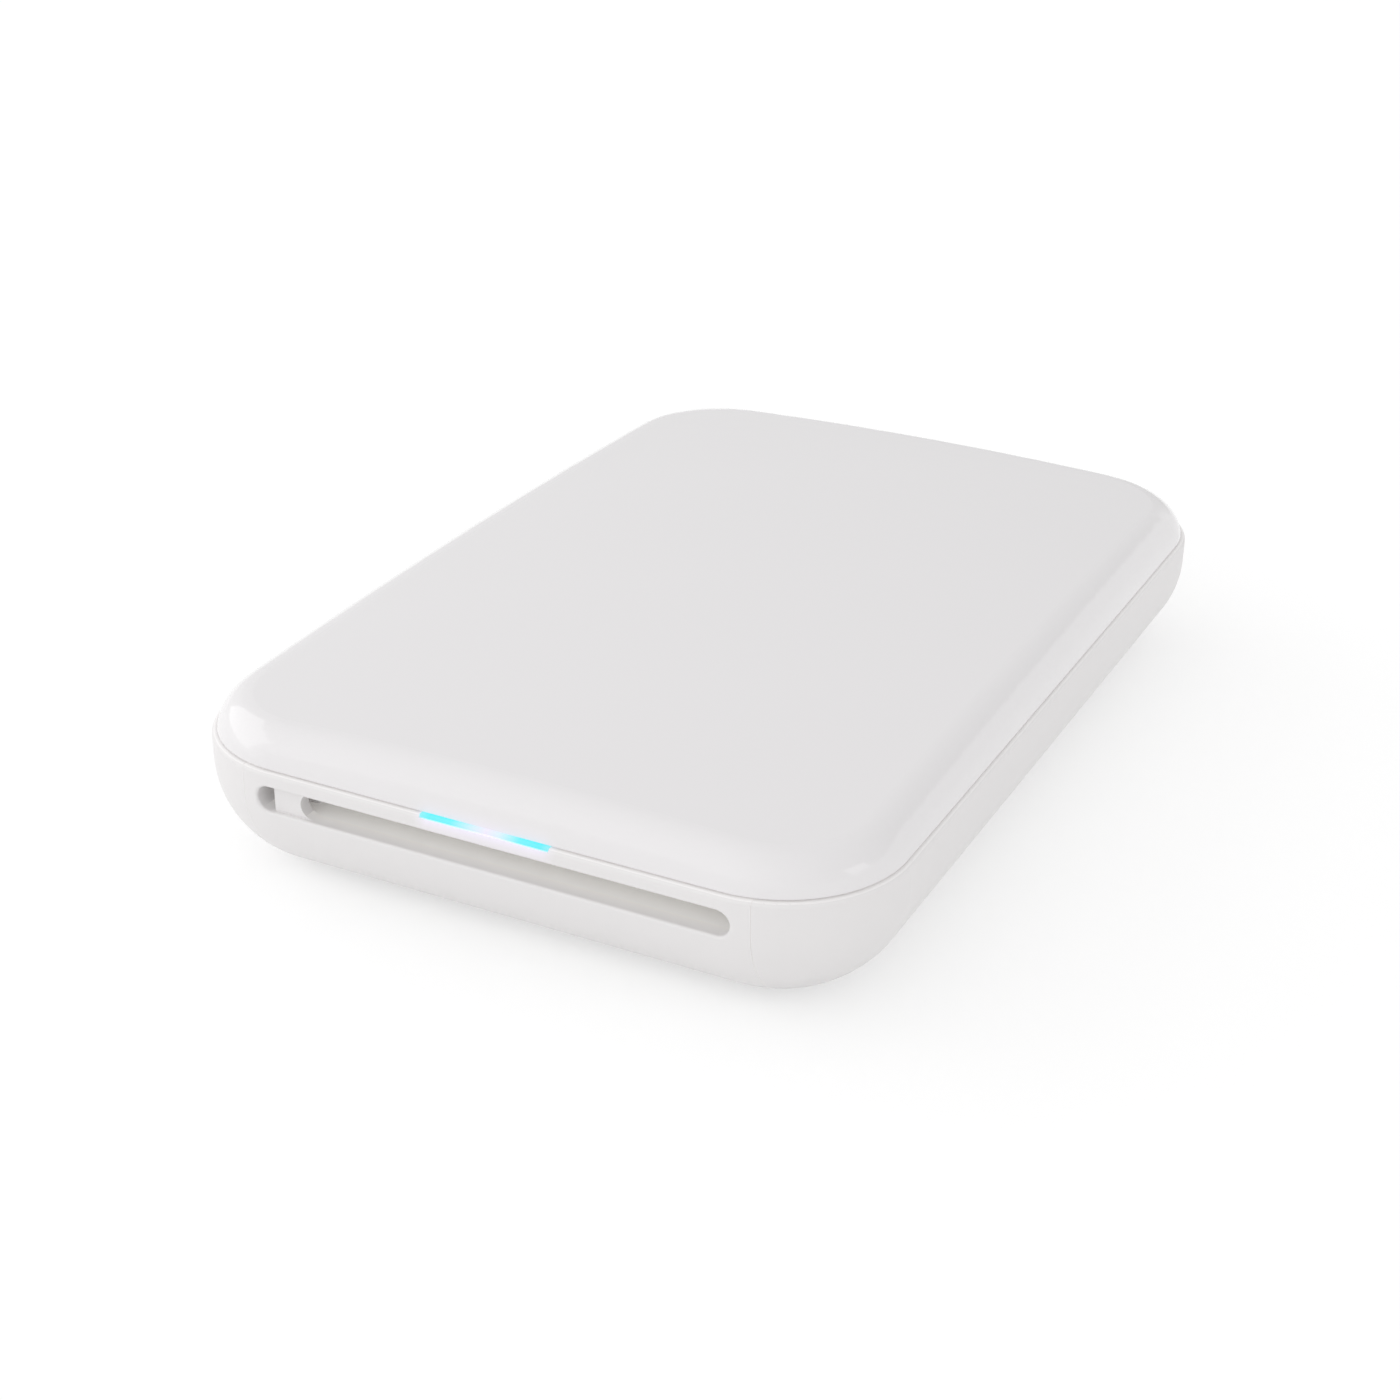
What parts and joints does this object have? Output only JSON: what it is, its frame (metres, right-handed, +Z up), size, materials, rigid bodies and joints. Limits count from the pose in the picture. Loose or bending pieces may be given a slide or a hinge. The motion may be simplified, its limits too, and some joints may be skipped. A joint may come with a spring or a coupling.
{
  "type": "portable photo printer",
  "caption": "White pocket photo printer with a hinged crowned cover, a front paper exit slot with a lanyard bar, and a roller and gear print mechanism inside.",
  "frame": {"origin": "middle of the printer's footprint, on the surface its rubber feet rest on", "axes": "+Z up, -Y towards the front with the paper exit, X across, so +Y is the long side"},
  "size_m": [0.084, 0.123, 0.022],
  "materials": {
    "gloss_shell": "high gloss moulded white plastic",
    "satin_shell": "satin moulded white plastic",
    "inner_plastic": "fine matt texture",
    "dark_plastic": "fine matt texture",
    "gear_plastic": "unpainted acetal",
    "light_guide": "milky light guide",
    "steel": "zinc plated",
    "spring_steel": "drawn wire",
    "nickel": "nickel plated",
    "bronze": "sintered bronze",
    "brass": "turned brass",
    "aluminium": "mill finish",
    "ceramic": "glazed alumina",
    "rubber": "ground rubber",
    "circuit_board": "solder mask",
    "chips": "moulded epoxy",
    "battery_foil": "laminated foil pouch",
    "foam_tape": "closed cell foam",
    "flat_cable": "polyester film",
    "lead_wire": "PVC sleeve"
  },
  "bodies": {
    "base": {"lower_housing": "satin_shell", "front_panel": "satin_shell", "light_guide": "light_guide", "light_strip": "circuit_board", "middle_frame": "inner_plastic", "latch_magnets": "nickel", "case_screws": "steel", "gear_side_plate": "steel", "bearing_side_plate": "steel", "cross_ties": "steel", "shaft_bushings": "bronze", "gear_studs": "steel", "motor": "nickel", "pinch_axle": "steel", "head_leaf_spring": "spring_steel", "paper_guide": "dark_plastic", "mechanism_cover": "dark_plastic", "mechanism_cover_screws": "steel", "battery": "battery_foil", "battery_tape": "foam_tape", "main_board": "circuit_board", "board_parts": "chips", "rear_board": "circuit_board", "board_screws": "steel", "usb_port": "steel", "button_switch": "chips", "charge_light_pipe": "light_guide", "flat_cable": "flat_cable", "motor_leads": "lead_wire", "battery_leads": "lead_wire", "rubber_feet": "rubber"},
    "lid": {"top_cover": "gloss_shell", "hinge_pins": "steel", "cover_liner": "inner_plastic", "liner_screws": "steel", "latch_discs": "steel", "pressure_plate_pin": "steel", "pressure_springs": "spring_steel"},
    "pressure_plate": {"pressure_plate": "gear_plastic", "pressure_pad": "foam_tape"},
    "platen_roller": {"platen_shaft": "steel", "platen_rubber": "rubber", "platen_gear": "gear_plastic"},
    "feed_roller": {"feed_shaft": "steel", "feed_rubber": "rubber", "feed_gear": "gear_plastic"},
    "pickup_roller": {"pickup_shaft": "steel", "pickup_rubber": "rubber", "pickup_gear": "gear_plastic"},
    "front_idler": {"front_idler_gear": "gear_plastic"},
    "rear_idler": {"rear_idler_gear": "gear_plastic"},
    "reduction": {"reduction_gear": "gear_plastic"},
    "motor_rotor": {"motor_shaft": "steel", "motor_pinion": "brass"},
    "pinch_rollers": {"pinch_rollers": "dark_plastic"},
    "print_head": {"print_head_bar": "ceramic", "print_head_sink": "aluminium"},
    "power_button": {"power_button": "satin_shell"}
  },
  "joints": [
    {"name": "cover_hinge", "type": "hinge", "parent": "base", "child": "lid", "pos_m": [0, 0.0572, 0.0177], "axis": [-1, 0, 0], "range_deg": [0, 70]},
    {"name": "pressure_plate_hinge", "type": "hinge", "parent": "lid", "child": "pressure_plate", "pos_m": [0.0032, 0.003, 0.0165], "axis": [-1, 0, 0], "range_deg": [0, 8], "stiffness_Nm_per_rad": 0.02, "springref_deg": -8.59, "deforming": ["pressure_springs"]},
    {"name": "platen_spin", "type": "hinge", "parent": "base", "child": "platen_roller", "pos_m": [0, -0.046, 0.0085], "axis": [1, 0, 0], "continuous": true},
    {"name": "feed_spin", "type": "hinge", "parent": "base", "child": "feed_roller", "pos_m": [0, -0.033, 0.009], "axis": [1, 0, 0], "continuous": true},
    {"name": "pickup_spin", "type": "hinge", "parent": "base", "child": "pickup_roller", "pos_m": [0, -0.018, 0.0077], "axis": [1, 0, 0], "continuous": true},
    {"name": "front_idler_spin", "type": "hinge", "parent": "base", "child": "front_idler", "pos_m": [0, -0.039, 0.00669], "axis": [1, 0, 0], "continuous": true},
    {"name": "rear_idler_spin", "type": "hinge", "parent": "base", "child": "rear_idler", "pos_m": [0, -0.02601, 0.00715], "axis": [1, 0, 0], "continuous": true},
    {"name": "reduction_spin", "type": "hinge", "parent": "base", "child": "reduction", "pos_m": [0, -0.01122, 0.00855], "axis": [1, 0, 0], "continuous": true},
    {"name": "motor_spin", "type": "hinge", "parent": "base", "child": "motor_rotor", "pos_m": [0, -0.00403, 0.006], "axis": [1, 0, 0], "continuous": true},
    {"name": "pinch_spin", "type": "hinge", "parent": "base", "child": "pinch_rollers", "pos_m": [0, -0.033, 0.0143], "axis": [1, 0, 0], "continuous": true},
    {"name": "head_pivot", "type": "hinge", "parent": "base", "child": "print_head", "pos_m": [0.0032, -0.0382, 0.0145], "axis": [-1, 0, 0], "range_deg": [0, 2], "stiffness_Nm_per_rad": 0.5, "springref_deg": -2.86, "deforming": ["head_leaf_spring"]},
    {"name": "button_press", "type": "slide", "parent": "base", "child": "power_button", "axis": [0, -1, 0], "range_m": [0, 0.0005], "stiffness_N_per_m": 300}
  ],
  "couplings": [
    {"joint": "feed_spin", "follows": "platen_spin", "ratio": 1.2},
    {"joint": "pickup_spin", "follows": "platen_spin", "ratio": 1},
    {"joint": "front_idler_spin", "follows": "platen_spin", "ratio": -2},
    {"joint": "rear_idler_spin", "follows": "platen_spin", "ratio": -1.5},
    {"joint": "reduction_spin", "follows": "platen_spin", "ratio": -2.4},
    {"joint": "motor_spin", "follows": "platen_spin", "ratio": 6.72},
    {"joint": "pinch_spin", "follows": "platen_spin", "ratio": -1.8}
  ]
}
